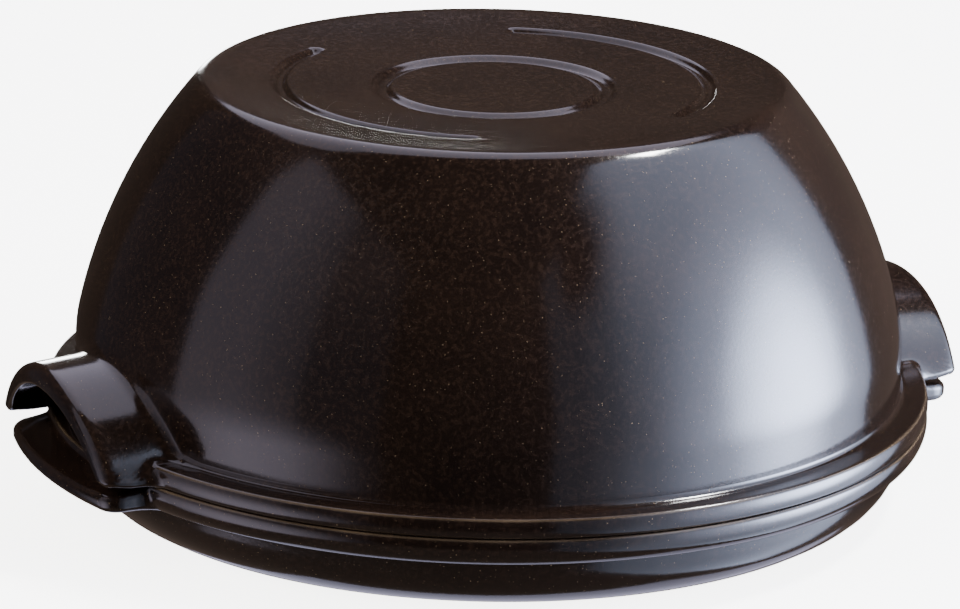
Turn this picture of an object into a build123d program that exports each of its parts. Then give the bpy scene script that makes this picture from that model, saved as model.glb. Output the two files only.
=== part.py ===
"""Bread cloche: a domed stoneware lid that lifts off a shallow footed baking dish.

Both pieces have a pair of grips on the X axis. The lid's grips are arched hoods, the
dish's are shallow shelves under them, and fingers go into the gap between the two.

Units are millimetres. The origin is at the middle of the foot's resting face, Z is up.
"""
from build123d import *
from math import cos, radians, tan
import os

# Overall size
rim_radius = 145.0
lid_top_z = 136.0
parting_z = 28.3
grip_overhang = 12.4
overrun = 20.0

# Fit of the lid's lip inside the dish's rim
lip_clearance = 1.0
lip_floor_gap = 0.8

# Lid
lid_wall = 6.8
lid_ledge_width = 9.3
waist_z = 48.5
waist_arc_radius = 20.0
waist_arc_turn = 6.9
wall_arc_turn = 27.3
crown_edge_fillet = 7.6
lid_flange_height = 6.6
lid_flange_fillet = 1.6
ledge_fillet = 2.0
lip_width = 4.6
lip_height = 3.0

# Rings pressed into the lid's flat top, their radii as shares of the rim's
ring_depth = 1.5
ring_taper = 30.0
small_ring_share = 0.2524
small_ring_width = 7.4
broken_ring_share = 0.4807
broken_ring_width = 4.4
broken_ring_half_angle = 58.0

# Lid grips
hood_crown_z = 54.8
hood_radius = 54.0
hood_thickness = 6.5
hood_tilt = 4.5
hood_end_radius = 252.0
hood_foot_rise = 1.4
hood_edge_fillet = 2.7
hood_inner_fillet = 1.0
hood_root_fillet = 5.0
pocket_step = 2.5

# Dish
dish_flange_height = 9.0
dish_flange_inset = 3.6
dish_flange_fillet = 1.6
dish_flange_step = 3.6
dish_side_lean = 4.3
dish_foot_fillet = 18.0
dish_floor = 7.0
dish_corner_fillet = 12.0
foot_height = 2.2
foot_ring_width = 23.5

# Dish grips
shelf_half_width = 42.4
shelf_top_drop = 2.3
shelf_droop = 7.7
shelf_corner_fillet = 7.0
shelf_edge_fillet = 2.4
shelf_root_fillet = 10.0

# Ridges on the dish's floor
ridge_height = 1.6
ridge_width = 5.0
ridge_count = 5

# Sizes that follow from the ones above
grip_reach = rim_radius + grip_overhang
waist_radius = rim_radius - lid_ledge_width
waist_arc_middle = waist_radius - waist_arc_radius
wall_arc_radius = waist_arc_radius + waist_arc_middle / cos(radians(waist_arc_turn))
small_ring_radius = rim_radius * small_ring_share
broken_ring_radius = rim_radius * broken_ring_share
cavity_radius = waist_radius - lid_wall
lip_outer_radius = cavity_radius + lip_width
floor_z = foot_height + dish_floor
hood_centre_z = hood_crown_z - hood_radius
hood_inner_radius = hood_radius - hood_thickness
lid_flange_top_z = parting_z + lid_flange_height
dish_flange_z = parting_z - dish_flange_height
dish_flange_low_radius = rim_radius - dish_flange_inset
dish_side_radius = dish_flange_low_radius - dish_flange_step
dish_foot_corner_radius = dish_side_radius - dish_side_lean
foot_inner_radius = dish_foot_corner_radius - foot_ring_width
dish_corner_radius = cavity_radius - dish_corner_fillet
ridge_pitch = dish_corner_radius / (ridge_count + 1)


def revolved(outline):
    """The solid that a closed outline in radius and height makes round Z."""
    return revolve(make_face(Plane.XZ * outline), Axis.Z)


def disc(radius, bottom_z, top_z):
    """A plain round slab between two heights."""
    alignment = (Align.CENTER, Align.CENTER, Align.MIN)
    return Pos(0, 0, bottom_z) * Cylinder(radius, top_z - bottom_z, align=alignment)


def both_sides(grip):
    """A grip on +X and its twin on -X."""
    return grip + Rot(0, 0, 180) * grip


def grip_end(plan_radius):
    """The space inside a grip's outer edge, an arc in plan that reaches out on +X."""
    return Pos(grip_reach - plan_radius, 0, 0) * disc(plan_radius, 0, lid_top_z)


def tilted(strip):
    """An arch strip sloped down towards its outer end."""
    hinge = Pos(grip_reach, 0, hood_centre_z)
    return hinge * Rot(0, hood_tilt, 0) * hinge.inverse() * strip


def dome():
    """The dome's outer form, solid, with a straight skirt down to the table.

    Between its rounded waist and its straight slope the wall is part of a ball.
    """
    waist_start = (waist_radius, waist_z)
    waist_arc = JernArc(waist_start, (0, 1), waist_arc_radius, waist_arc_turn)
    wall_arc = JernArc(waist_arc @ 1, waist_arc % 1, wall_arc_radius, wall_arc_turn)
    wall_end = wall_arc @ 1
    slope = PolarLine(
        wall_end,
        lid_top_z - wall_end.Y,
        direction=wall_arc % 1,
        length_mode=LengthMode.VERTICAL,
    )
    rest = Polyline(slope @ 1, (0, lid_top_z), (0, 0), (waist_radius, 0), waist_start)
    solid = revolved(waist_arc + wall_arc + slope + rest)
    return fillet(solid.edges().group_by(Axis.Z)[-1], crown_edge_fillet)


def hood():
    """One arched lid grip, from inside the dome's wall out to the grip's edge."""
    start_x = waist_radius - lid_wall - hood_root_fillet
    far_x = grip_reach + overrun
    arch = Circle(hood_radius) - Circle(hood_inner_radius)
    strip = extrude(Plane.YZ.offset(start_x) * Pos(0, hood_centre_z) * arch, far_x - start_x)
    slope = hood_foot_rise / (grip_reach - rim_radius)
    side = Polyline(
        (0, parting_z),
        (rim_radius, parting_z),
        (far_x, parting_z + slope * (far_x - rim_radius)),
        (far_x, lid_top_z),
        (0, lid_top_z),
        close=True,
    )
    above_feet = extrude(make_face(Plane.XZ * side), hood_radius + overrun, both=True)
    strip = tilted(strip) & above_feet & grip_end(hood_end_radius)
    outer_arch = strip.faces().sort_by(Axis.X)[-1].edges().sort_by(SortBy.LENGTH)[-1]
    strip = fillet(outer_arch, hood_edge_fillet)
    inner_arch = strip.faces().sort_by(Axis.X)[-1].edges().sort_by(SortBy.LENGTH)[-2]
    return fillet(inner_arch, hood_inner_fillet)


def pocket():
    """The finger space under one hood, outside the lid's seat."""
    space = extrude(
        Plane.YZ * Pos(0, hood_centre_z) * Circle(hood_inner_radius),
        grip_reach + overrun,
    )
    return tilted(space) - disc(waist_radius + pocket_step, -overrun, lid_top_z)


def lid_flange():
    """The band round the lid's rim, open under the two hoods."""
    band = disc(rim_radius, parting_z, lid_flange_top_z)
    band = fillet(band.edges(), lid_flange_fillet)
    return band - pocket() - Rot(0, 0, 180) * pocket()


def lid_lip():
    """The ring under the lid's rim that drops inside the dish and centres the lid."""
    return disc(lip_outer_radius, parting_z - lip_height, parting_z)


def pressed_rings():
    """The tool that presses one whole ring and two broken ones into the lid's top."""
    top = Plane.XY.offset(lid_top_z)
    half_width = small_ring_width / 2
    whole = Circle(small_ring_radius + half_width) - Circle(small_ring_radius - half_width)
    sketches = [whole]
    for middle_angle in (0, 180):
        start = middle_angle - broken_ring_half_angle
        arc = CenterArc((0, 0), broken_ring_radius, start, 2 * broken_ring_half_angle)
        sketches.append(SlotArc(arc, broken_ring_width))
    tools = [extrude(top * sketch, -ring_depth, taper=ring_taper) for sketch in sketches]
    return Part() + tools


def make_lid():
    """The domed lid with its flange, lip, two hoods and pressed rings."""
    outside = dome() - disc(rim_radius, 0, parting_z)
    hoods = both_sides(hood())
    gripped = outside + hoods
    gripped = fillet(new_edges(outside, hoods, combined=gripped), hood_root_fillet)
    band = lid_flange()
    banded = gripped + band
    ledge = new_edges(gripped, band, combined=banded).filter_by_position(
        Axis.Z, lid_flange_top_z, lid_flange_top_z
    )
    banded = fillet(ledge, ledge_fillet)
    inside = offset(dome(), -lid_wall)
    return banded + lid_lip() - inside - pressed_rings()


def shelf_plan():
    """The outline in plan of both dish grips, flared where they leave the flange."""
    plan = Rectangle(2 * grip_reach, 2 * shelf_half_width) & Circle(grip_reach)
    plan = fillet(plan.vertices(), shelf_corner_fillet)
    plan += Circle(dish_flange_low_radius)
    roots = plan.vertices().filter_by(
        lambda vertex: Vector(vertex.X, vertex.Y).length < rim_radius
    )
    return fillet(roots, shelf_root_fillet)


def shelf():
    """One dish grip: a shelf, level underneath, whose top droops towards its end."""
    slope = tan(radians(shelf_droop))
    rim_z = parting_z - shelf_top_drop
    side = Polyline(
        (cavity_radius, dish_flange_z),
        (grip_reach, dish_flange_z),
        (grip_reach, rim_z - (grip_reach - rim_radius) * slope),
        (cavity_radius, rim_z + (rim_radius - cavity_radius) * slope),
        close=True,
    )
    plate = extrude(make_face(Plane.XZ * side), rim_radius, both=True)
    plate = plate & extrude(shelf_plan(), parting_z)
    rims = plate.edges().filter_by(Axis.Z, reverse=True)
    rims = rims.filter_by_position(Axis.X, cavity_radius + shelf_edge_fillet, grip_reach)
    return fillet(rims, shelf_edge_fillet)


def dish_form():
    """The dish's outer form, solid, from its foot to its flange."""
    outline = Polyline(
        (0, 0),
        (dish_foot_corner_radius, 0),
        (dish_side_radius, dish_flange_z),
        (dish_flange_low_radius, dish_flange_z),
        (rim_radius, parting_z),
        (0, parting_z),
        close=True,
    )
    solid = revolved(outline)
    foot_edge = solid.edges().group_by(Axis.Z)[0]
    solid = fillet(foot_edge, dish_foot_fillet)
    flange_edges = solid.edges().filter_by(GeomType.CIRCLE).filter_by(
        lambda edge: edge.radius > dish_side_radius + dish_flange_step / 2
    )
    return fillet(flange_edges, dish_flange_fillet)


def dish_inside():
    """The space inside the dish, down to a floor with raised round ridges."""
    ridge_points = []
    for number in range(1, ridge_count + 1):
        middle = number * ridge_pitch
        ridge_points += [
            (middle - ridge_width / 2, floor_z),
            (middle, floor_z + ridge_height),
            (middle + ridge_width / 2, floor_z),
        ]
    corner_start = (dish_corner_radius, floor_z)
    corner_end = (cavity_radius, floor_z + dish_corner_fillet)
    floor = Polyline((0, parting_z + overrun), (0, floor_z), *ridge_points, corner_start)
    corner = RadiusArc(corner_start, corner_end, -dish_corner_fillet)
    wall = Polyline(corner_end, (cavity_radius, parting_z + overrun), (0, parting_z + overrun))
    return revolved(floor + corner + wall)


def make_dish():
    """The shallow dish with its foot, flange, rebate, two shelves and floor ridges."""
    outside = dish_form() + both_sides(shelf())
    rebate = disc(
        lip_outer_radius + lip_clearance,
        parting_z - lip_height - lip_floor_gap,
        parting_z + overrun,
    )
    foot_recess = disc(foot_inner_radius, -overrun, foot_height)
    return outside - dish_inside() - rebate - foot_recess


os.makedirs("parts", exist_ok=True)
export_step(make_lid(), "parts/dome_lid.step")
export_step(make_dish(), "parts/base_dish.step")
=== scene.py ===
"""Bread cloche in dark glazed stoneware: a domed lid on a shallow footed baking dish.

Each of the two pieces is a turned form with a pair of grips. A piece is described by a
field, the distance from any point to its surface with the outward direction there, and
its mesh is drawn from outlines of that field in half-planes all round the Z axis. Forms
are worked out in millimetres and turned to metres where the mesh is made.
"""
from functools import partial
from math import cos, radians, sin, tan
from types import SimpleNamespace

import bpy
import numpy as np
from mathutils import Matrix, Vector


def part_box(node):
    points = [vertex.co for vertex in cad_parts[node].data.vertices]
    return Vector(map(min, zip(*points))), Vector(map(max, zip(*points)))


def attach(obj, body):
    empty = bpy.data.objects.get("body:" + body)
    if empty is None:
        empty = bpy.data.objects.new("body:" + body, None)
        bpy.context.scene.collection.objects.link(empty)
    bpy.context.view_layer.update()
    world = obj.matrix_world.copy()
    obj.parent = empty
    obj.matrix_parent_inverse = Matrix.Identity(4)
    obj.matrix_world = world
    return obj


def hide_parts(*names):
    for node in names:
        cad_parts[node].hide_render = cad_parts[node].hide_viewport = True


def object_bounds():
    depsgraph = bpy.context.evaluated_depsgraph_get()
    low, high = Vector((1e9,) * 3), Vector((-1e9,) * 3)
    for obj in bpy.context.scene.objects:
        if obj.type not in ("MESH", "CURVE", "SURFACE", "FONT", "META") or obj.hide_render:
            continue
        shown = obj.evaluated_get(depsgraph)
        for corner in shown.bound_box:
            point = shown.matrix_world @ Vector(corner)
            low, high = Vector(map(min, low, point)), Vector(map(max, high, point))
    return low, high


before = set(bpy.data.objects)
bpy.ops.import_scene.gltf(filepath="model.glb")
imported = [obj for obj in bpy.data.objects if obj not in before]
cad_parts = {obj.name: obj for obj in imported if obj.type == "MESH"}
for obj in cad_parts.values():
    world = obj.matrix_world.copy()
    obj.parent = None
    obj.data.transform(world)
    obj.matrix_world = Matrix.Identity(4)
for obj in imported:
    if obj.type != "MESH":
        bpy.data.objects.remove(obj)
cad_low, cad_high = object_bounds()

bl_info = {
    "name": "Bread cloche",
    "version": (1, 0, 0),
    "blender": (4, 5, 0),
    "location": "View3D > Sidebar > Cloche",
    "description": "Builds the glazed lid and dish of a bread cloche and a stage for them",
    "category": "Object",
}

MM = 0.001

# Angles of the form, in degrees
HOOD_TILT = 4.5
SHELF_DROOP = 7.7
WAIST_TURN = 12.7
BROKEN_RING_HALF_ANGLE = 58.0

# The lid's small sizes, in millimetres; the dish's band has the same rounding
BAND_ROUNDING = 1.6
HOOD_END_RADIUS = 252.0
HOOD_EDGE_ROUNDING = 3.6
HOOD_FOOT_RISE = 1.4
LEDGE_ROUNDING = 2.0
HOOD_LEDGE_EXTRA = 3.0
HOOD_LEDGE_REACH = 8
POCKET_STEP = 2.5
POCKET_CORNER_ROUNDING = 2.0
POCKET_MOUTH_ROUNDING = 2.2
LOW_EDGE_ROUNDING = 1.7
LOW_EDGE_LOSS = 0.7
LOW_EDGE_HEIGHT = 2
LOW_EDGE_CHANGE = 6
LIP_INSET = 2.2
LIP_HEIGHT = 3.0
LIP_ROOT_HEIGHT = 15.0
LIP_ROUNDING = 0.8
LIP_ROOT_ROUNDING = 0.6
CEILING_ROUNDING = 4.0
MOUTH_ROUNDING = 1.2
WHOLE_RING_HALF_WIDTH = 4.0
BROKEN_RING_HALF_WIDTH = 3.1

# Level floor of a pressed ring, as a share of its half width
WHOLE_RING_FLOOR = 0.18
BROKEN_RING_FLOOR = 0.14

# The dish's small sizes, in millimetres
SIDE_INSET = 7.2
SIDE_LEAN = 4.3
BULGE_DROP = 2.5
BAND_ROOT_ROUNDING = 1.2
SHELF_CORNER_ROUNDING = 7.0
SHELF_ROOT_INSET = 3.6
SHELF_TOP_DROP = 2.3
SHELF_EDGE_ROUNDING = 2.4
SHELF_END_ROUNDING = 0.5
SHELF_JOIN_ROUNDING = 1.4
RIM_ROUNDING = 1.6
INSIDE_INSET = 6.8
INSIDE_CORNER_ROUNDING = 12.0
INSIDE_RIM_ROUNDING = 1.0
REBATE_INSET = 1.2
REBATE_DEPTH = 3.8
REBATE_CORNER_ROUNDING = 0.8
REBATE_RIM_ROUNDING = 1.0
RECESS_INSET = 27.8
RECESS_DEPTH = 2.2
RECESS_CORNER_ROUNDING = 1.5
RECESS_RIM_ROUNDING = 1.2
RIDGE_COUNT = 5
RIDGE_HALF_WIDTH = 2.8

# Guards against dividing by nothing, and against directions too nearly the same
TINY = 1e-9
TINY_SQUARE = 1e-12
NEARLY_ALONG = 0.9999

# How a section is followed, in millimetres and steps
TRACE_STEP = 0.25
SHORTEST_STEP = 1e-6
TRACE_START_RADIUS = 0.05
TRACE_FIRST_STEPS = 40
TRACE_LIMIT = 4000

# Angles between sections, in degrees: over a grip, near a marked angle, and elsewhere
GRIP_ANGLE = 25.0
GRIP_STEP = 0.36
MARKED_REACH = 3.0
MARKED_STEP = 0.5
WIDE_STEP = 1.5

# Points along a section, before, along and after the stretch in which sections differ
POINTS_PER_RADIAN = 3.6
FLAT_STEPS = (6.0, 2.4, 7.0)
LID_COUNTS = (66, 100, 36)
DISH_COUNTS = (76, 86, 32)

# That stretch on the lid: from the first height down outside, and inside up to the second
LID_LEAVE_HEIGHT = 66
LID_RETURN_HEIGHT = 45
LID_RETURN_RADIUS = 130
# That stretch on the dish: from the first height up inside, and outside down to the second
DISH_LEAVE_HEIGHT = 21
DISH_RETURN_HEIGHT = 14

# Strips with closer points, in millimetres: half width and spacing
WHOLE_RING_STRIP = (4.6, 0.7)
BROKEN_RING_STRIP = (3.6, 0.5)
RIDGE_STRIP = (3.2, 0.8)
STRIP_LEVEL_MARGIN = 0.5

# How far from a level a point still counts as on it, in millimetres
TOP_END_DROP = 0.08
LEVEL_TOLERANCE = 0.1

# Soft noise in the glaze, its size in millimetres and its detail: clouds, mottling,
# waves and skin
NOISES = ((30, 3.0), (1.4, 3.0), (22, 1.0), (1.2, 1.0))

# Glaze, in millimetres
SPECK_SPACING = 1.1
WAVE_DEPTH = 0.10
SKIN_DEPTH = 0.010
CLAY_LINE = (0.15, 0.45)

# Glaze, as shares and ranges of noise
CLOUD_RANGE = (0.35, 0.7)
CLOUD_WARMTH = 0.15
MOTTLE_RANGE = (0.48, 0.64)
MOTTLE_WARMTH = 0.34
SPECK_CHANCE = 0.35
SPECK_REACH = 0.19
THIN_SHARE = (0.2, 0.6)
ROUGHNESS_SPREAD = 0.03
CLAY_ROUGHNESS = 0.85
GLAZE_IOR = 1.52

# Where glaze thins: the bend, in radians per millimetre, at which it starts, and how
# much more bend makes it full
THIN_BENDS = (0.4, 0.25)
SHARP_BENDS = (0.65, 0.3)
SHARP_SHARE = 0.6
# The shortest edge that a bend is measured over, in millimetres
SHORTEST_EDGE = 0.2

# Stage: floor and camera in metres, sensor and lens in millimetres, turns in degrees
FLOOR_REACH = 6
FLOOR_ROUGHNESS = 0.9
FLOOR_SPECULAR = 0.2
ROOM_TINT = "#e6c8b8"
ROOM_HEIGHTS = (-0.6, -0.35)
ROOM_GLOWS = (0.28, 0.06)
CAMERA_SENSOR = 36.0
CAMERA_LENS = 189.67
CAMERA_CLIP_END = 30.0
CAMERA_PLACE = (-0.7041, -1.4247, 0.5477)
CAMERA_HEADING = -26.186
CAMERA_DIP = 17.108
CAMERA_ROLL = 1.182


def linear(colour):
    """A #rrggbb colour in sRGB as linear red, green and blue."""
    values = [int(colour[start:start + 2], 16) / 255 for start in (1, 3, 5)]
    return tuple(v / 12.92 if v <= 0.04045 else ((v + 0.055) / 1.055) ** 2.4 for v in values)


def length(label, millimetres, description):
    """A length property given in millimetres and kept in metres."""
    return bpy.props.FloatProperty(
        name=label,
        description=description,
        default=millimetres * MM,
        min=0.0,
        subtype="DISTANCE",
        unit="LENGTH",
    )


def colour(label, code, description):
    """A colour property given as an sRGB code."""
    return bpy.props.FloatVectorProperty(
        name=label,
        description=description,
        default=linear(code),
        min=0.0,
        max=1.0,
        size=3,
        subtype="COLOR",
    )


class ClocheForm(bpy.types.PropertyGroup):
    """Sizes of the lid and the dish."""

    rim_radius: length("Rim radius", cad_high.y / MM, "Radius of the bands where lid and dish meet")
    grip_reach: length("Grip reach", cad_high.x / MM, "Distance from the middle to a grip's end")
    lid_top: length("Lid top", cad_high.z / MM, "Height of the lid's top at its edge")
    parting: length("Parting height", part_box("base_dish")[1].z / MM, "Height of the seam")
    waist_radius: length("Waist radius", 135.7, "Radius of the lid's wall above its band")
    waist_height: length("Waist height", 48.5, "Height at which the wall starts to lean in")
    waist_arc: length("Waist curve", 46.9, "Radius of the wall's first curve")
    wall_arc: length("Wall curve", 174.7, "Radius of the wall's long curve")
    crown_rounding: length("Crown rounding", 7.6, "Rounding between the wall and the top")
    lid_wall: length("Lid wall", 6.8, "Thickness of the lid")
    lid_band: length("Lid band height", 6.6, "Height of the band round the lid's rim")
    hood_crown: length("Hood crown", 54.8, "Height of a lid grip at its end")
    hood_radius: length("Hood radius", 54.0, "Outer radius of a lid grip's arch")
    hood_thickness: length("Hood thickness", 6.5, "Thickness of a lid grip's arch")
    hood_root: length("Hood root rounding", 5.0, "Rounding where a lid grip meets the wall")
    dish_band: length("Dish band height", 9.0, "Height of the band round the dish's rim")
    band_bulge: length("Band bulge", 8.0, "Radius of the bands' rounded faces")
    foot_rounding: length("Foot rounding", 18.0, "Rounding between the dish's side and its foot")
    floor_height: length("Floor height", 9.2, "Height of the dish's floor")
    shelf_half_width: length("Shelf half width", 42.4, "Half the width of a dish grip")
    shelf_root: length("Shelf root rounding", 10.0, "Rounding in plan where a shelf leaves the rim")
    whole_ring: length("Whole ring radius", 36.6, "Radius of the ring pressed into the lid's top")
    broken_ring: length("Broken ring radius", 69.7, "Radius of the ring with two gaps")
    ring_depth: length("Ring depth", 1.5, "Depth of the rings pressed into the lid's top")
    top_sink: length("Top sink", 4.0, "How far the lid's top sinks towards its middle")
    ridge_height: length("Ridge height", 1.6, "Height of the ridges on the dish's floor")


class ClocheGlaze(bpy.types.PropertyGroup):
    """Colours and gloss of the glaze."""

    deep: colour("Deep glaze", "#130c09", "Glaze where it lies thick")
    warm: colour("Warm glaze", "#32231a", "Glaze where the iron in it has come up")
    thin: colour("Thin glaze", "#6e5c46", "Glaze drawn thin over an edge")
    speck: colour("Speck", "#65543f", "Fine light specks in the glaze")
    clay: colour("Bare clay", "#7a6350", "Unglazed clay under the foot")
    roughness: bpy.props.FloatProperty(
        name="Roughness",
        description="How much the glaze blurs a reflection",
        default=0.12,
        min=0.0,
        max=1.0,
        subtype="FACTOR",
    )


class ClocheStage(bpy.types.PropertyGroup):
    """Floor and light."""

    floor: colour("Floor", "#f2f1ee", "Colour of the floor")
    floor_glow: bpy.props.FloatProperty(
        name="Floor glow",
        description="Brightness of the floor's own light and of the backdrop",
        default=6.0,
        min=0.0,
    )
    panel_power: bpy.props.FloatProperty(
        name="Panel brightness",
        description="Brightness of the lit panels round the object",
        default=1.0,
        min=0.0,
    )


# A field is an array of four rows: the distance to a surface, less than zero inside the
# solid, and the x, y and z of the direction that leads outwards.


def meet(first, second, rounding):
    """The solid that lies in both, with its outer edge rounded."""
    cosine = np.clip((first[1:] * second[1:]).sum(0), -NEARLY_ALONG, NEARLY_ALONG)
    square = 1 - cosine ** 2
    past_first = first[0] + rounding
    past_second = second[0] + rounding
    share_first = past_first - cosine * past_second
    share_second = past_second - cosine * past_first
    reach = past_first ** 2 + past_second ** 2 - 2 * cosine * past_first * past_second
    reach = np.sqrt(np.maximum(reach, TINY_SQUARE) / square)
    outward = (share_first * first[1:] + share_second * second[1:]) / (square * reach)
    rounded = np.vstack([reach - rounding, outward])
    sharp = np.where(first[0] > second[0], first, second)
    return np.where((share_first > 0) & (share_second > 0), rounded, sharp)


def join(first, second, rounding):
    """The solid of both together, with the corner between them filled to a round."""
    return -meet(-first, -second, rounding)


def cut(first, second, rounding):
    """The first solid without the second, with the new edge rounded."""
    return meet(first, -second, rounding)


def half_space(points, direction, reach):
    """Everything less than a reach away along a direction of length 1."""
    direction = np.array(direction, float)
    distance = direction @ points - reach
    return np.vstack([distance, np.broadcast_to(direction[:, None], points.shape)])


def below(points, height):
    """Everything below a height."""
    return half_space(points, (0, 0, 1), height)


def above(points, height):
    """Everything above a height."""
    return half_space(points, (0, 0, -1), -height)


def behind_slope(points, height, normal):
    """Everything behind a sloped plane that crosses the Z axis at a height."""
    normal = np.array(normal, float) / np.linalg.norm(normal)
    distance = normal @ (points - np.array([[0.0], [0.0], [height]]))
    return np.vstack([distance, np.broadcast_to(normal[:, None], points.shape)])


def tube(points, start, axis, radius):
    """A round bar without ends, along an axis through a start point."""
    offset = points - np.array(start, float)[:, None]
    axis = np.array(axis, float)[:, None]
    offset = offset - axis * (axis * offset).sum(0)
    reach = np.sqrt((offset ** 2).sum(0)) + TINY
    return np.vstack([reach - radius, offset / reach])


def pillar(points, radius):
    """A round bar along Z."""
    return tube(points, (0, 0, 0), (0, 0, 1), radius)


def turned(points, distance, out, up):
    """The field of a surface turned round Z, from its direction outwards and upwards."""
    reach = np.hypot(points[0], points[1]) + TINY
    return np.vstack([distance, out * points[0] / reach, out * points[1] / reach, up])


def rounded_disc(points, reach, height, rounding):
    """A disc across the Z axis, with a fully round edge of that rounding."""
    out = np.maximum(np.hypot(points[0], points[1]) - reach + rounding, 0)
    up = points[2] - height
    away = np.hypot(out, up) + TINY
    return turned(points, away - rounding, out / away, up / away)


def dome_wall(points, size):
    """The lid's wall: a straight waist and two curves, each tangent to the next."""
    radius = np.hypot(points[0], points[1])
    turn = radians(WAIST_TURN)
    low_middle = size.waist_radius - size.waist_arc
    step = size.wall_arc - size.waist_arc
    high_middle = low_middle - step * cos(turn)
    high_base = size.waist_height - step * sin(turn)
    low_out, low_up = radius - low_middle, points[2] - size.waist_height
    high_out, high_up = radius - high_middle, points[2] - high_base
    low_reach = np.hypot(low_out, low_up) + TINY
    high_reach = np.hypot(high_out, high_up) + TINY
    straight = turned(points, radius - size.waist_radius, np.ones_like(radius), 0 * radius)
    low = turned(points, low_reach - size.waist_arc, low_out / low_reach, low_up / low_reach)
    high = turned(points, high_reach - size.wall_arc, high_out / high_reach, high_up / high_reach)
    curved = np.where(np.arctan2(low_up, low_out) < turn, low, high)
    return np.where(low_up < 0, straight, curved)


def lid_field(points, size):
    """The lid: dome, two hoods, band, lip, finger pockets and the hollow under it."""
    body = meet(dome_wall(points, size), below(points, size.lid_top), size.crown_rounding)

    axis = (cos(radians(HOOD_TILT)), 0, -sin(radians(HOOD_TILT)))
    hinge = (size.grip_reach, 0, size.hood_crown - size.hood_radius)
    arch = tube(points, hinge, axis, size.hood_radius)
    end = tube(points, (size.grip_reach - HOOD_END_RADIUS, 0, 0), (0, 0, 1), HOOD_END_RADIUS)
    body = join(body, meet(arch, end, HOOD_EDGE_ROUNDING), size.hood_root)

    band_middle = size.parting + size.lid_band / 2
    band = rounded_disc(points, size.rim_radius, band_middle, size.band_bulge)
    band = meet(band, below(points, size.parting + size.lid_band), BAND_ROUNDING)
    at_hood = np.clip(1 - np.abs(arch[0]) / HOOD_LEDGE_REACH, 0, 1)
    body = join(body, band, LEDGE_ROUNDING + HOOD_LEDGE_EXTRA * at_hood)

    hollow_arch = tube(points, hinge, axis, size.hood_radius - size.hood_thickness)
    pocket_back = pillar(points, size.waist_radius + POCKET_STEP)
    pocket = cut(hollow_arch, pocket_back, POCKET_CORNER_ROUNDING)
    foot_rise = HOOD_FOOT_RISE / (size.grip_reach - size.rim_radius)
    foot_base = size.parting - foot_rise * size.rim_radius
    seat = above(points, size.parting)
    foot = behind_slope(points, foot_base, (foot_rise, 0, -1))
    under = np.where(seat[0] > foot[0], seat, foot)
    under = cut(under, pocket, POCKET_MOUTH_ROUNDING)
    higher = np.clip((points[2] - size.parting - LOW_EDGE_HEIGHT) / LOW_EDGE_CHANGE, 0, 1)
    body = meet(body, under, LOW_EDGE_ROUNDING - LOW_EDGE_LOSS * higher)

    lip = pillar(points, size.waist_radius - LIP_INSET)
    lip = meet(lip, above(points, size.parting - LIP_HEIGHT), LIP_ROUNDING)
    lip = meet(lip, below(points, size.parting + LIP_ROOT_HEIGHT), LIP_ROUNDING)
    body = join(body, lip, LIP_ROOT_ROUNDING)

    hollow = dome_wall(points, size)
    hollow[0] += size.lid_wall
    hollow = meet(hollow, below(points, size.lid_top - size.lid_wall), CEILING_ROUNDING)
    return cut(body, hollow, MOUTH_ROUNDING)


def dish_field(points, size):
    """The dish: footed bowl, band, two shelves, rebate for the lid's lip and the hollow."""
    radius = np.hypot(points[0], points[1])
    band_low = size.parting - size.dish_band
    side_radius = size.rim_radius - SIDE_INSET
    lean = SIDE_LEAN / band_low
    slant = np.hypot(1, lean)
    side = (radius - side_radius - lean * (points[2] - band_low)) / slant
    out, up = np.full_like(radius, 1 / slant), np.full_like(radius, -lean / slant)
    side = turned(points, side, out, up)
    body = meet(side, above(points, 0), size.foot_rounding)
    band = rounded_disc(points, size.rim_radius, size.parting - BULGE_DROP, size.band_bulge)
    band = meet(band, above(points, band_low), BAND_ROUNDING)
    body = join(body, band, BAND_ROOT_ROUNDING)

    shelf_side = half_space(points, (0, 1, 0), size.shelf_half_width)
    plan = meet(pillar(points, size.grip_reach), shelf_side, SHELF_CORNER_ROUNDING)
    plan = join(plan, pillar(points, size.rim_radius - SHELF_ROOT_INSET), size.shelf_root)
    slope = tan(radians(SHELF_DROOP))
    top_height = size.parting - SHELF_TOP_DROP + slope * size.rim_radius
    shelf = meet(plan, above(points, band_low), SHELF_EDGE_ROUNDING)
    shelf = meet(shelf, behind_slope(points, top_height, (slope, 0, 1)), SHELF_EDGE_ROUNDING)
    inside_radius = size.waist_radius - INSIDE_INSET
    shelf = meet(shelf, half_space(points, (-1, 0, 0), -inside_radius), SHELF_END_ROUNDING)
    body = join(body, shelf, SHELF_JOIN_ROUNDING)
    body = meet(body, below(points, size.parting), RIM_ROUNDING)

    hollow = pillar(points, inside_radius)
    hollow = meet(hollow, above(points, size.floor_height), INSIDE_CORNER_ROUNDING)
    body = cut(body, hollow, INSIDE_RIM_ROUNDING)
    rebate = pillar(points, size.waist_radius - REBATE_INSET)
    rebate = meet(rebate, above(points, size.parting - REBATE_DEPTH), REBATE_CORNER_ROUNDING)
    body = cut(body, rebate, REBATE_RIM_ROUNDING)
    recess = pillar(points, side_radius - RECESS_INSET)
    recess = meet(recess, below(points, RECESS_DEPTH), RECESS_CORNER_ROUNDING)
    return cut(body, recess, RECESS_RIM_ROUNDING)


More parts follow.
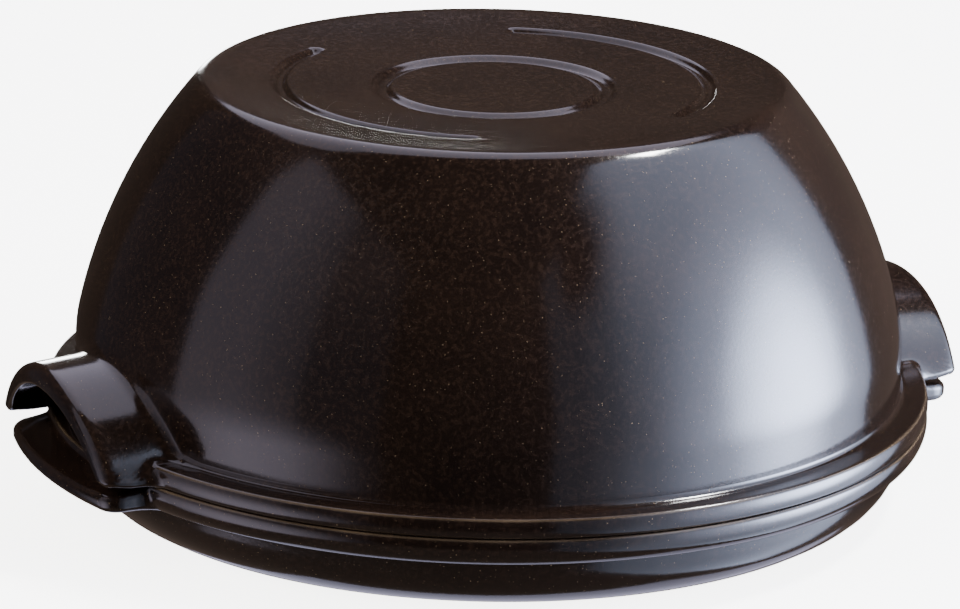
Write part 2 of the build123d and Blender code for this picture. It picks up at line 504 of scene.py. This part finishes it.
def follow_outlines(field, angles, start_height):
    """Outlines of a solid in half-planes round Z, each followed from the axis to the axis."""
    out_x, out_y = np.cos(angles), np.sin(angles)
    radius = np.full(len(angles), TRACE_START_RADIUS)
    height = np.full(len(angles), float(start_height))
    ended = np.zeros(len(angles), bool)
    path = [np.array([radius, height])]

    def slopes():
        value = field(np.array([radius * out_x, radius * out_y, height]))
        across = value[1] * out_x + value[2] * out_y
        return value[0], across, value[3], across ** 2 + value[3] ** 2 + TINY_SQUARE

    for step in range(TRACE_LIMIT):
        _, across, upward, square = slopes()
        stride = np.where(ended, 0, TRACE_STEP / np.sqrt(square))
        radius = radius + stride * upward
        height = height - stride * across
        for _ in range(2):
            distance, across, upward, square = slopes()
            distance = np.where(ended, 0, np.clip(distance, -TRACE_STEP, TRACE_STEP))
            radius = radius - distance * across / square
            height = height - distance * upward / square
        ended |= (radius < 2 * TRACE_STEP) & (step > TRACE_FIRST_STEPS)
        path.append(np.array([radius, height]))
        if ended.all():
            return np.array(path)
    raise RuntimeError("a section of the solid doesn't come back to the axis")


def spread_points(outline, count, flat_step, crowded=None):
    """Points along an outline, closer together in its curves and where it is crowded."""
    steps = np.diff(outline, axis=0)
    lengths = np.hypot(steps[:, 0], steps[:, 1])
    kept = lengths > SHORTEST_STEP
    outline = np.vstack([outline[:1], outline[1:][kept]])
    steps, lengths = steps[kept], lengths[kept]
    headings = np.unwrap(np.arctan2(steps[:, 1], steps[:, 0]))
    turns = np.abs(np.gradient(headings))
    weights = lengths / flat_step + turns * POINTS_PER_RADIAN
    if crowded is not None:
        weights = weights + lengths * crowded(outline[1:])
    along = np.concatenate([[0], np.cumsum(weights)])
    wanted = np.linspace(0, along[-1], count)
    return np.column_stack([np.interp(wanted, along, outline[:, side]) for side in (0, 1)])


def round_sections(quarter, outlines):
    """All the sections round Z, from those between the X axis and the Y axis."""
    quarter = np.array(quarter)
    angles, order = [], []
    for turn, mirrored in ((0, False), (180, True), (180, False), (360, True)):
        for index in (range(len(quarter) - 1, 0, -1) if mirrored else range(len(quarter) - 1)):
            angles.append(turn - quarter[index] if mirrored else turn + quarter[index])
            order.append(index)
    return np.radians(angles), outlines[order]


def sectioned_mesh(name, angles, outlines):
    """A closed mesh through sections round Z whose first and last points are on the axis."""
    sections, count = outlines.shape[:2]
    inner = outlines[:, 1:-1] * MM
    rows = count - 2
    x = inner[:, :, 0] * np.cos(angles)[:, None]
    y = inner[:, :, 0] * np.sin(angles)[:, None]
    ring_points = np.stack([x, y, inner[:, :, 1]], -1).reshape(-1, 3)
    poles = np.array([[0, 0, outlines[0, 0, 1] * MM], [0, 0, outlines[0, -1, 1] * MM]])
    points = np.vstack([ring_points, poles])
    first_pole, last_pole = len(points) - 2, len(points) - 1
    faces = []
    for section in range(sections):
        here, there = section * rows, (section + 1) % sections * rows
        for row in range(rows - 1):
            faces.append((here + row, here + row + 1, there + row + 1, there + row))
        faces.append((first_pole, here, there))
        faces.append((last_pole, there + rows - 1, here + rows - 1))
    mesh = bpy.data.meshes.new(name)
    mesh.from_pydata(points.tolist(), [], faces)
    mesh.polygons.foreach_set("use_smooth", [True] * len(mesh.polygons))
    mesh.update()
    mesh.validate()
    return mesh


def add_node(tree, kind, inputs=None, **settings):
    """A node with its settings, and its inputs set to values or linked.

    An input is linked to a socket that is given for it, or to a given node's first output.
    """
    node = tree.nodes.new(kind)
    for name, value in settings.items():
        setattr(node, name, value)
    for key, value in (inputs or {}).items():
        if isinstance(value, bpy.types.Node):
            value = value.outputs[0]
        if isinstance(value, bpy.types.NodeSocket):
            tree.links.new(value, node.inputs[key])
        else:
            node.inputs[key].default_value = value
    return node


def new_material(name):
    """An empty material, what adds a node to it, and the place of a point in the object."""
    material = bpy.data.materials.new(name)
    material.use_nodes = True
    material.node_tree.nodes.clear()
    add = partial(add_node, material.node_tree)
    return material, add, add("ShaderNodeTexCoord").outputs["Object"]


def new_form_tree(name, lengths):
    """A Geometry Nodes tree for a mesh, what adds a node to it, and its inputs."""
    tree = bpy.data.node_groups.new(name, "GeometryNodeTree")
    tree.interface.new_socket("Geometry", in_out="INPUT", socket_type="NodeSocketGeometry")
    tree.interface.new_socket("Material", in_out="INPUT", socket_type="NodeSocketMaterial")
    for label in lengths:
        tree.interface.new_socket(label, in_out="INPUT", socket_type="NodeSocketFloat")
    tree.interface.new_socket("Geometry", in_out="OUTPUT", socket_type="NodeSocketGeometry")
    add = partial(add_node, tree)
    return tree, add, add("NodeGroupInput").outputs


def place_in_plan(add):
    """A point's place in plan, its distance from the Z axis and its height."""
    place = add("GeometryNodeInputPosition")
    split = add("ShaderNodeSeparateXYZ", {0: place}).outputs
    flat = add("ShaderNodeCombineXYZ", {0: split[0], 1: split[1]})
    reach = add("ShaderNodeVectorMath", {0: flat}, operation="LENGTH").outputs["Value"]
    return flat, reach, split[2]


def finish_form_tree(add, given, chosen, rise):
    """Ends a tree: chosen points rise, and the form is made real and given its material."""
    offset = add("ShaderNodeCombineXYZ", {2: rise})
    moved = {"Geometry": given["Geometry"], "Selection": chosen, "Offset": offset}
    moved = add("GeometryNodeSetPosition", moved)
    real = add("GeometryNodeRealizeInstances", {"Geometry": moved})
    painted = add("GeometryNodeSetMaterial", {"Geometry": real, "Material": given["Material"]})
    add("NodeGroupOutput", {"Geometry": painted})


def pressed_rings_tree():
    """Sinks a flat top towards its middle and presses one whole ring and two broken ones in."""
    names = ("Top Height", "Top Radius", "Top Sink", "Ring Depth", "Whole Radius")
    names += ("Whole Half Width", "Broken Radius", "Broken Half Width", "Half Angle")
    tree, add, given = new_form_tree("Pressed rings", names)
    number, vector = "ShaderNodeMath", "ShaderNodeVectorMath"
    flat, reach, height = place_in_plan(add)
    corner = add(vector, {0: flat}, operation="ABSOLUTE")
    sides = add("ShaderNodeSeparateXYZ", {0: corner}).outputs
    angle = add(number, {0: sides[1], 1: sides[0]}, operation="ARCTAN2")

    from_whole = add(number, {0: reach, 1: given["Whole Radius"]}, operation="SUBTRACT")
    from_whole = add(number, {0: from_whole}, operation="ABSOLUTE")
    from_arc = add(number, {0: reach, 1: given["Broken Radius"]}, operation="SUBTRACT")
    from_arc = add(number, {0: from_arc}, operation="ABSOLUTE")
    end_out = add(number, {0: given["Half Angle"]}, operation="COSINE")
    end_side = add(number, {0: given["Half Angle"]}, operation="SINE")
    end = add("ShaderNodeCombineXYZ", {0: end_out, 1: end_side})
    end = add(vector, {0: end, "Scale": given["Broken Radius"]}, operation="SCALE")
    from_end = add(vector, {0: corner, 1: end}, operation="DISTANCE").outputs["Value"]
    past_end = add(number, {0: angle, 1: given["Half Angle"]}, operation="GREATER_THAN")
    nearest = {"Factor": past_end, "A": from_arc, "B": from_end}
    from_broken = add("ShaderNodeMix", nearest, data_type="FLOAT").outputs["Result"]
    depths = []
    for distance, width, floor_share in (
        (from_whole, given["Whole Half Width"], WHOLE_RING_FLOOR),
        (from_broken, given["Broken Half Width"], BROKEN_RING_FLOOR),
    ):
        floor = add(number, {0: width, 1: floor_share}, operation="MULTIPLY")
        ends = {"From Min": floor, "From Max": width, "To Min": 1.0, "To Max": 0.0}
        wall = {"Value": distance, **ends}
        depths.append(add("ShaderNodeMapRange", wall, interpolation_type="SMOOTHSTEP"))
    deepest = add(number, dict(enumerate(depths)), operation="MAXIMUM")
    pressed = add(number, {0: deepest, 1: given["Ring Depth"]}, operation="MULTIPLY")

    outwards = add(number, {0: reach, 1: given["Top Radius"]}, operation="DIVIDE")
    outwards = add(number, {0: outwards, 1: 1.0}, operation="MINIMUM")
    sunk = add(number, {0: outwards, 1: outwards}, operation="MULTIPLY")
    sunk = add(number, {0: 1.0, 1: sunk}, operation="SUBTRACT")
    drop = add(number, {0: sunk, 1: given["Top Sink"], 2: pressed}, operation="MULTIPLY_ADD")
    rise = add(number, {0: drop, 1: -1.0}, operation="MULTIPLY")
    near_top = {0: given["Top Height"], 1: LEVEL_TOLERANCE * MM}
    near_top = add(number, near_top, operation="SUBTRACT")
    on_top = add(number, {0: height, 1: near_top}, operation="GREATER_THAN")
    finish_form_tree(add, given, on_top, rise)
    return tree


def floor_ridges_tree():
    """Raises round ridges at an even pitch on a flat floor."""
    names = ("Floor Height", "Ridge Height", "Ridge Half Width", "Ridge Pitch", "Last Ridge")
    tree, add, given = new_form_tree("Floor ridges", names)
    number = "ShaderNodeMath"
    _, reach, height = place_in_plan(add)
    nearest = add(number, {0: reach, 1: given["Ridge Pitch"]}, operation="DIVIDE")
    nearest = add(number, {0: nearest}, operation="ROUND")
    nearest = add(number, {0: nearest, 1: 1.0}, operation="MAXIMUM")
    nearest = add(number, {0: nearest, 1: given["Last Ridge"]}, operation="MINIMUM")
    middle = add(number, {0: nearest, 1: given["Ridge Pitch"]}, operation="MULTIPLY")
    away = add(number, {0: reach, 1: middle}, operation="SUBTRACT")
    away = add(number, {0: away}, operation="ABSOLUTE")
    ends = {"From Max": given["Ridge Half Width"], "To Min": given["Ridge Height"], "To Max": 0.0}
    rise = add("ShaderNodeMapRange", {"Value": away, **ends}, interpolation_type="SMOOTHSTEP")
    over = add(number, {0: height, 1: given["Floor Height"]}, operation="SUBTRACT")
    over = add(number, {0: over}, operation="ABSOLUTE")
    on_floor = add(number, {0: over, 1: LEVEL_TOLERANCE * MM}, operation="LESS_THAN")
    finish_form_tree(add, given, on_floor, rise)
    return tree


def shaped_by_tree(name, mesh, tree, material, values):
    """A plain object with the mesh that a Geometry Nodes tree makes of another."""
    rough = bpy.data.objects.new(name + "_rough", mesh)
    bpy.context.scene.collection.objects.link(rough)
    modifier = rough.modifiers.new("Form", "NODES")
    modifier.node_group = tree
    inputs = [item for item in tree.interface.items_tree if item.in_out == "INPUT"]
    sockets = {item.name: item.identifier for item in inputs}
    modifier[sockets["Material"]] = material
    for label, value in values.items():
        modifier[sockets[label]] = value
    evaluated = rough.evaluated_get(bpy.context.evaluated_depsgraph_get())
    shaped = bpy.data.meshes.new_from_object(evaluated)
    bpy.data.objects.remove(rough)
    bpy.data.meshes.remove(mesh)
    shaped.name = name
    piece = bpy.data.objects.new(name, shaped)
    bpy.context.scene.collection.objects.link(piece)
    return piece


def read_rows(items, key, width, kind=np.float32):
    """One value of every point or edge of a mesh, as the rows of an array."""
    flat = np.empty(len(items) * width, kind)
    items.foreach_get(key, flat)
    return flat.reshape(-1, width)


def mark_edges(mesh):
    """Keeps on each point how near it is to the middle of a sharp edge, for thin glaze."""
    points = read_rows(mesh.vertices, "co", 3)
    normals = read_rows(mesh.vertex_normals, "vector", 3)
    ends = read_rows(mesh.edges, "vertices", 2, np.int32)
    step = points[ends[:, 1]] - points[ends[:, 0]]
    turn = ((normals[ends[:, 1]] - normals[ends[:, 0]]) * step).sum(1)
    bend = turn / np.maximum((step ** 2).sum(1), (SHORTEST_EDGE * MM) ** 2) * MM
    owners, bends = ends.ravel(), np.repeat(bend, 2)
    order = np.lexsort((bends, owners))
    last = np.searchsorted(owners[order], np.arange(len(points)), side="right") - 1
    # The second sharpest bend at each point, so that one odd edge doesn't decide
    bend = bends[order][last - 1]
    # One where the surface leans halfway, and soon nothing towards level and upright
    upward = normals[:, 2] ** 2
    middle = (4 * upward * (1 - upward)) ** 4
    edge = np.clip((bend - THIN_BENDS[0]) / THIN_BENDS[1], 0, 1) * middle
    sharp = SHARP_SHARE * np.clip((bend - SHARP_BENDS[0]) / SHARP_BENDS[1], 0, 1)
    edge = np.maximum(edge, sharp)
    attribute = mesh.attributes.new("thin_glaze", "FLOAT", "POINT")
    attribute.data.foreach_set("value", edge.astype(np.float32))


def speckled_glaze(name, look):
    """Glossy iron-brown glaze fired on stoneware.

    It reads as nearly black glass with warm brown under it, fine light specks, slow
    waves in its reflections, a lighter line where it ran thin over an edge, and dry
    clay on the face that the dish stands on.
    """
    material, add, place = new_material(name)
    number, remap = "ShaderNodeMath", "ShaderNodeMapRange"

    # Clouds of iron, mottling with finer grain in it, slow waves left by casting, and
    # the skin of the glaze
    noises = []
    for size, detail in NOISES:
        inputs = {"Vector": place, "Scale": 1 / (size * MM), "Detail": detail}
        noises.append(add("ShaderNodeTexNoise", inputs))
    cloud, mottle, wave, skin = noises
    cloud = add(remap, {"Value": cloud, "From Min": CLOUD_RANGE[0], "From Max": CLOUD_RANGE[1]})
    ends = {"From Min": MOTTLE_RANGE[0], "From Max": MOTTLE_RANGE[1]}
    mottle = add(remap, {"Value": mottle, **ends})
    warmth = add(number, {0: cloud, 1: CLOUD_WARMTH}, operation="MULTIPLY")
    warmth = add(number, {0: mottle, 1: MOTTLE_WARMTH, 2: warmth}, operation="MULTIPLY_ADD")

    # Specks up to 0.4 mm across, one in most of the cells that they are spread over
    spacing = {"Vector": place, "Scale": 1 / (SPECK_SPACING * MM)}
    cells = add("ShaderNodeTexVoronoi", spacing).outputs
    chance = add("ShaderNodeSeparateColor", {0: cells["Color"]}).outputs
    grain = add(remap, {"Value": chance[0], "From Min": SPECK_CHANCE, "To Max": SPECK_REACH})
    speck = add(number, {0: cells["Distance"], 1: grain}, operation="LESS_THAN")
    speck = add(number, {0: speck, 1: chance[1]}, operation="MULTIPLY")

    # Glaze drawn thin over the edges, broken up by the clouds
    edge = add("ShaderNodeAttribute", attribute_name="thin_glaze").outputs["Fac"]
    uneven = add(remap, {"Value": cloud, "To Min": THIN_SHARE[0], "To Max": THIN_SHARE[1]})
    edge = add(number, {0: edge, 1: uneven}, operation="MULTIPLY")

    # Dry clay on the lowest 0.3 mm of the foot
    up = add("ShaderNodeSeparateXYZ", {0: place}).outputs[2]
    ends = {"From Min": CLAY_LINE[0] * MM, "From Max": CLAY_LINE[1] * MM, "To Min": 1.0}
    bare = add(remap, {"Value": up, **ends, "To Max": 0.0})

    # Each colour lies over the ones before it
    surface = (*look.deep, 1)
    layers = ((warmth, look.warm), (speck, look.speck), (edge, look.thin), (bare, look.clay))
    for share, tint in layers:
        layer = {"Factor": share, "A": surface, "B": (*tint, 1)}
        surface = add("ShaderNodeMix", layer, data_type="RGBA").outputs["Result"]
    ends = {"To Min": look.roughness, "To Max": look.roughness + ROUGHNESS_SPREAD}
    gloss = add(remap, {"Value": mottle, **ends})
    gloss = {"Factor": bare, "A": gloss, "B": CLAY_ROUGHNESS}
    gloss = add("ShaderNodeMix", gloss, data_type="FLOAT").outputs["Result"]

    waves = add("ShaderNodeBump", {"Strength": 1.0, "Distance": WAVE_DEPTH * MM, "Height": wave})
    relief = {"Strength": 1.0, "Distance": SKIN_DEPTH * MM, "Height": skin, "Normal": waves}
    relief = add("ShaderNodeBump", relief)
    finish = {"Base Color": surface, "Roughness": gloss, "IOR": GLAZE_IOR, "Normal": relief}
    shader = add("ShaderNodeBsdfPrincipled", finish)
    add("ShaderNodeOutputMaterial", {"Surface": shader})
    return material


def quarter_angles(marked=()):
    """Section angles from the X axis to the Y axis, close over a grip and at marked angles."""
    angles = list(np.arange(0, GRIP_ANGLE, GRIP_STEP))
    while angles[-1] < 90 - WIDE_STEP:
        last = angles[-1]
        near = any(mark - MARKED_REACH <= last < mark + MARKED_REACH for mark in marked)
        angles.append(last + (MARKED_STEP if near else WIDE_STEP))
    angles[-1] = 90.0
    return angles


def first_index(flags):
    """Where a row of flags is first true."""
    if not flags.any():
        raise RuntimeError("an outline has no such place")
    return int(np.argmax(flags))


def closer(distance, strip):
    """How many more points a millimetre gets within a strip's half width."""
    half_width, spacing = strip
    return np.where(np.abs(distance) < half_width, 1 / spacing, 0)


def matched_outlines(path, leaves, returns, counts, crowded):
    """Evenly spread outlines, with the same points wherever the sections are alike.

    A section leaves the common form at its first point for which the first rule holds,
    and returns to it at the first later point for which the second one does.
    """

    def ends(outline):
        start = first_index(leaves(outline))
        return start, start + first_index(returns(outline[start:]))

    plain = path[:, :, -1]
    start, end = ends(plain)
    before = spread_points(plain[:start + 1], counts[0], FLAT_STEPS[0], crowded)
    after = spread_points(plain[end:], counts[2], FLAT_STEPS[2])
    outlines = []
    for section in range(path.shape[2]):
        outline = path[:, :, section]
        start, end = ends(outline)
        middle = outline[start:end + 1].copy()
        middle[0], middle[-1] = before[-1], after[0]
        between = spread_points(middle, counts[1], FLAT_STEPS[1])
        outlines.append(np.vstack([before[:-1], between[:-1], after]))
    return np.array(outlines)


def form_sizes(form):
    """The form's lengths, in millimetres."""
    lengths = {key: getattr(form, key) / MM for key in ClocheForm.__annotations__}
    return SimpleNamespace(**lengths)


class CLOCHE_OT_lid(bpy.types.Operator):
    """Make the glazed lid with its hoods and pressed rings"""

    bl_idname = "cloche.lid"
    bl_label = "Lid"

    def execute(self, context):
        form = context.scene.cloche_form
        size = form_sizes(form)
        angles = quarter_angles(marked=(BROKEN_RING_HALF_ANGLE,))
        path = follow_outlines(
            lambda points: lid_field(points, size), np.radians(angles), size.lid_top
        )
        plain = path[:, :, -1]
        top_radius = plain[first_index(plain[:, 1] < size.lid_top - TOP_END_DROP), 0]

        def crowded(outline):
            radius, height = outline[:, 0], outline[:, 1]
            rings = closer(radius - size.whole_ring, WHOLE_RING_STRIP)
            rings = rings + closer(radius - size.broken_ring, BROKEN_RING_STRIP)
            return rings * (height > size.lid_top - STRIP_LEVEL_MARGIN)

        def leaves(outline):
            return outline[:, 1] < LID_LEAVE_HEIGHT

        def returns(outline):
            return (outline[:, 0] < LID_RETURN_RADIUS) & (outline[:, 1] > LID_RETURN_HEIGHT)

        outlines = matched_outlines(path, leaves, returns, LID_COUNTS, crowded)
        mesh = sectioned_mesh("lid_form", *round_sections(angles, outlines))
        material = speckled_glaze("speckled_stoneware_glaze_lid", context.scene.cloche_glaze)
        piece = shaped_by_tree(
            "glazed_lid",
            mesh,
            pressed_rings_tree(),
            material,
            {
                "Top Height": form.lid_top,
                "Top Radius": top_radius * MM,
                "Top Sink": form.top_sink,
                "Ring Depth": form.ring_depth,
                "Whole Radius": form.whole_ring,
                "Whole Half Width": WHOLE_RING_HALF_WIDTH * MM,
                "Broken Radius": form.broken_ring,
                "Broken Half Width": BROKEN_RING_HALF_WIDTH * MM,
                "Half Angle": radians(BROKEN_RING_HALF_ANGLE),
            },
        )
        mark_edges(piece.data)
        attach(piece, "lid")
        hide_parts("dome_lid")
        return {"FINISHED"}


class CLOCHE_OT_dish(bpy.types.Operator):
    """Make the glazed dish with its shelves, foot and floor ridges"""

    bl_idname = "cloche.dish"
    bl_label = "Dish"

    def execute(self, context):
        form = context.scene.cloche_form
        size = form_sizes(form)
        angles = quarter_angles()
        path = follow_outlines(
            lambda points: dish_field(points, size), np.radians(angles), size.floor_height
        )
        floor_inset = INSIDE_INSET + INSIDE_CORNER_ROUNDING
        pitch = (size.waist_radius - floor_inset) / (RIDGE_COUNT + 1)

        def crowded(outline):
            radius, height = outline[:, 0], outline[:, 1]
            nearest = np.clip(np.round(radius / pitch), 1, RIDGE_COUNT)
            ridges = closer(radius - pitch * nearest, RIDGE_STRIP)
            return ridges * (height < size.floor_height + STRIP_LEVEL_MARGIN)

        def leaves(outline):
            return outline[:, 1] > DISH_LEAVE_HEIGHT

        def returns(outline):
            return outline[:, 1] < DISH_RETURN_HEIGHT

        outlines = matched_outlines(path, leaves, returns, DISH_COUNTS, crowded)
        mesh = sectioned_mesh("dish_form", *round_sections(angles, outlines))
        material = speckled_glaze("speckled_stoneware_glaze_dish", context.scene.cloche_glaze)
        piece = shaped_by_tree(
            "glazed_dish",
            mesh,
            floor_ridges_tree(),
            material,
            {
                "Floor Height": form.floor_height,
                "Ridge Height": form.ridge_height,
                "Ridge Half Width": RIDGE_HALF_WIDTH * MM,
                "Ridge Pitch": pitch * MM,
                "Last Ridge": float(RIDGE_COUNT),
            },
        )
        mark_edges(piece.data)
        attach(piece, "base")
        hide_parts("base_dish")
        return {"FINISHED"}


# Panels that light the object without showing in its glaze
UNREFLECTED = {"soft_fill", "soft_bounce"}


def lit_panel(name, heading, outline, ramp, tint, spots):
    """A lit studio panel that faces the object, seen in reflections and not by the camera.

    The heading is azimuth and elevation in degrees and the distance. Outline and places
    are in tangents to the right and up, as seen from the object. The ramp gives the
    brightness at places across. Each spot is round: a place, a radius and what it adds.
    """
    azimuth, elevation, distance = heading
    mesh = bpy.data.meshes.new(name)
    corners = [(right * distance, up * distance, 0) for right, up in outline]
    mesh.from_pydata(corners, [], [range(len(corners))])
    material, add, place = new_material(name)
    place = add("ShaderNodeVectorMath", {0: place, "Scale": 1 / distance}, operation="SCALE")
    across = add("ShaderNodeSeparateXYZ", {0: place}).outputs[0]
    power = ramp[0][1]
    for (start, start_glow), (end, end_glow) in zip(ramp, ramp[1:]):
        ends = {"From Min": start, "From Max": end, "To Max": end_glow - start_glow}
        rise = add("ShaderNodeMapRange", {"Value": across, **ends})
        power = add("ShaderNodeMath", {0: power, 1: rise}, operation="ADD")
    for middle, radius, glow in spots:
        away = add("ShaderNodeVectorMath", {0: place, 1: (*middle, 0)}, operation="DISTANCE")
        ends = {"From Max": radius, "To Min": glow, "To Max": 0.0}
        fade = {"Value": away.outputs["Value"], **ends}
        bright = add("ShaderNodeMapRange", fade, interpolation_type="SMOOTHERSTEP")
        power = add("ShaderNodeMath", {0: power, 1: bright}, operation="ADD")
    power = add("ShaderNodeMath", {0: power, 1: 0.0}, operation="MAXIMUM")
    light = add("ShaderNodeEmission", {"Color": (*linear(tint), 1), "Strength": power})
    add("ShaderNodeOutputMaterial", {"Surface": light})
    mesh.materials.append(material)
    panel = bpy.data.objects.new(name, mesh)
    bpy.context.scene.collection.objects.link(panel)
    turn, rise = radians(azimuth), radians(elevation)
    outward = Vector((sin(turn) * cos(rise), cos(turn) * cos(rise), sin(rise)))
    facing = outward.to_track_quat("-Z", "Y").to_matrix().to_4x4()
    panel.matrix_world = Matrix.Translation(outward * distance) @ facing
    panel.visible_camera = False
    panel.visible_glossy = name not in UNREFLECTED


def box_outline(left, right, low, high):
    """The outline of an upright panel from its four edges."""
    return [(left, low), (right, low), (right, high), (left, high)]


# Lit panels: azimuth, elevation and distance, outline, brightness across, tint, spots
PANELS = (
    ("panel_right", (122, 0, 1.5), box_outline(-0.84, 2.3, -1.5, 1.95),
     ((-0.84, 2.8), (-0.5, 5.0), (0.49, 3.4), (1.19, 0.95), (1.6, 0.45), (2.3, 0.35)),
     "#d4e0ff", (((-0.05, 0.03), 0.56, 46.0), ((0.06, 0.0), 0.95, 7.0),
                 ((1.15, 1.6), 0.9, -1.4), ((0.3, -1.2), 0.9, -1.2))),
    ("panel_glint", (107, 60, 1.5), box_outline(-0.10, 0.10, -0.05, 0.05), ((0.0, 220.0),),
     "#ffffff", ()),
    ("panel_left", (-84, 0, 1.5), box_outline(-0.9, 0.36, -0.75, 1.1),
     ((-0.9, 0.12), (-0.38, 0.18), (-0.32, 0.42), (0.0, 0.85)), "#e6dcf2",
     (((-0.15, -0.5), 0.75, 2.2),)),
    ("panel_above", (15, 60, 1.6),
     [(-0.85, 0.2), (-0.2, -0.6), (0.15, -0.65), (0.6, -0.05), (0.6, 0.5), (-0.85, 0.5)],
     ((-0.8, 1.4), (0.6, 2.8)), "#e4def6", ()),
    ("panel_behind", (19, 3, 1.6), box_outline(-0.13, 0.13, -0.07, 0.06), ((0.0, 25.0),),
     "#ffffff", ()),
    ("warm_wall", (58, 0, 1.7), box_outline(-0.4, 0.42, -0.4, 0.5), ((-0.4, 0.12), (0.42, 0.28)),
     "#e0c4b4", ()),
    ("warm_back", (27, 19, 1.75), box_outline(-0.28, 0.28, -0.1, 0.12),
     ((-0.28, 0.17), (0.28, 0.07)), "#e0c4b4", ()),
    ("dim_left_wall", (300, 8, 1.75), box_outline(-0.28, 0.9, -0.75, 0.9), ((0.0, 0.08),),
     "#dcd6ee", (((-0.1, -0.6), 0.5, 2.2),)),
    ("soft_fill", (-92, 30, 1.7), box_outline(-0.5, 0.5, -0.35, 0.45), ((0.0, 7.0),),
     "#ffffff", ()),
    ("soft_bounce", (-95, -35, 1.2), box_outline(-0.5, 0.5, -0.4, 0.4), ((0.0, 4.0),),
     "#ffffff", ()),
    ("bounce_card", (35, -62, 1.2), box_outline(-0.45, 0.5, -0.35, 0.45), ((0.0, 1.8),),
     "#d8d6f4", ()),
)


def pale_floor(look):
    """A floor with its own light, so that shadows on it are soft.

    It neither lights the object nor shows in its glaze.
    """
    mesh = bpy.data.meshes.new("studio_floor")
    corners = box_outline(-FLOOR_REACH, FLOOR_REACH, -FLOOR_REACH, FLOOR_REACH)
    mesh.from_pydata([(x, y, 0) for x, y in corners], [], [(0, 1, 2, 3)])
    material = bpy.data.materials.new("matt_card")
    material.use_nodes = True
    inputs = material.node_tree.nodes["Principled BSDF"].inputs
    inputs["Base Color"].default_value = (*look.floor, 1)
    inputs["Roughness"].default_value = FLOOR_ROUGHNESS
    inputs["Specular IOR Level"].default_value = FLOOR_SPECULAR
    inputs["Emission Color"].default_value = (*look.floor, 1)
    inputs["Emission Strength"].default_value = look.floor_glow
    mesh.materials.append(material)
    floor = bpy.data.objects.new("studio_floor", mesh)
    bpy.context.scene.collection.objects.link(floor)
    floor.visible_glossy = False
    floor.visible_diffuse = False


def dim_studio(scene, look):
    """A dim warm room, with a backdrop as pale as the floor that only the camera sees."""
    scene.world = bpy.data.worlds.new("dim_studio")
    scene.world.use_nodes = True
    tree = scene.world.node_tree
    room = tree.nodes["Background"]
    add = partial(add_node, tree)
    towards = add("ShaderNodeTexCoord").outputs["Generated"]
    up = add("ShaderNodeSeparateXYZ", {0: towards}).outputs[2]
    heights = {"From Min": ROOM_HEIGHTS[0], "From Max": ROOM_HEIGHTS[1]}
    glows = {"To Min": ROOM_GLOWS[0], "To Max": ROOM_GLOWS[1]}
    glow = add("ShaderNodeMapRange", {"Value": up, **heights, **glows})
    tree.links.new(glow.outputs[0], room.inputs["Strength"])
    room.inputs["Color"].default_value = (*linear(ROOM_TINT), 1)
    paleness = {"Color": (*look.floor, 1), "Strength": look.floor_glow}
    pale = add("ShaderNodeBackground", paleness)
    seen = add("ShaderNodeLightPath").outputs["Is Camera Ray"]
    backdrop = add("ShaderNodeMixShader", {0: seen, 1: room, 2: pale})
    tree.links.new(backdrop.outputs[0], tree.nodes["World Output"].inputs["Surface"])


def add_camera(scene):
    """A camera with a long lens, in front of the object, to its left and a little above."""
    data = bpy.data.cameras.new("camera")
    data.sensor_width = CAMERA_SENSOR
    data.lens = CAMERA_LENS
    data.clip_end = CAMERA_CLIP_END
    scene.camera = bpy.data.objects.new("camera", data)
    scene.collection.objects.link(scene.camera)
    heading = Matrix.Rotation(radians(CAMERA_HEADING), 4, "Z")
    pitch = Matrix.Rotation(radians(90 - CAMERA_DIP), 4, "X")
    roll = Matrix.Rotation(radians(CAMERA_ROLL), 4, "Z")
    scene.camera.matrix_world = Matrix.Translation(CAMERA_PLACE) @ heading @ pitch @ roll


class CLOCHE_OT_stage(bpy.types.Operator):
    """Make the pale floor, the lit panels and the camera"""

    bl_idname = "cloche.stage"
    bl_label = "Floor, light and camera"

    def execute(self, context):
        look = context.scene.cloche_stage
        pale_floor(look)
        for name, heading, outline, ramp, tint, spots in PANELS:
            ramp = [(place, glow * look.panel_power) for place, glow in ramp]
            spots = [(middle, radius, glow * look.panel_power) for middle, radius, glow in spots]
            lit_panel(name, heading, outline, ramp, tint, spots)
        dim_studio(context.scene, look)
        add_camera(context.scene)
        return {"FINISHED"}


class CLOCHE_PT_sidebar(bpy.types.Panel):
    """The cloche's steps in the sidebar"""

    bl_label = "Bread cloche"
    bl_idname = "CLOCHE_PT_sidebar"
    bl_space_type = "VIEW_3D"
    bl_region_type = "UI"
    bl_category = "Cloche"

    def draw(self, context):
        for operator in OPERATORS:
            self.layout.operator(operator.bl_idname)
        for group in ("cloche_form", "cloche_glaze", "cloche_stage"):
            settings = getattr(context.scene, group)
            box = self.layout.box()
            for key in type(settings).__annotations__:
                box.prop(settings, key)


OPERATORS = (CLOCHE_OT_lid, CLOCHE_OT_dish, CLOCHE_OT_stage)
GROUPS = {"cloche_form": ClocheForm, "cloche_glaze": ClocheGlaze, "cloche_stage": ClocheStage}


def register():
    for group in GROUPS.values():
        bpy.utils.register_class(group)
    for operator in OPERATORS:
        bpy.utils.register_class(operator)
    bpy.utils.register_class(CLOCHE_PT_sidebar)
    for name, group in GROUPS.items():
        setattr(bpy.types.Scene, name, bpy.props.PointerProperty(type=group))


def unregister():
    for name in GROUPS:
        delattr(bpy.types.Scene, name)
    bpy.utils.unregister_class(CLOCHE_PT_sidebar)
    for item in (*reversed(OPERATORS), *reversed(list(GROUPS.values()))):
        bpy.utils.unregister_class(item)


def main():
    register()
    bpy.ops.cloche.lid()
    bpy.ops.cloche.dish()
    bpy.ops.cloche.stage()


if __name__ == "__main__":
    main()
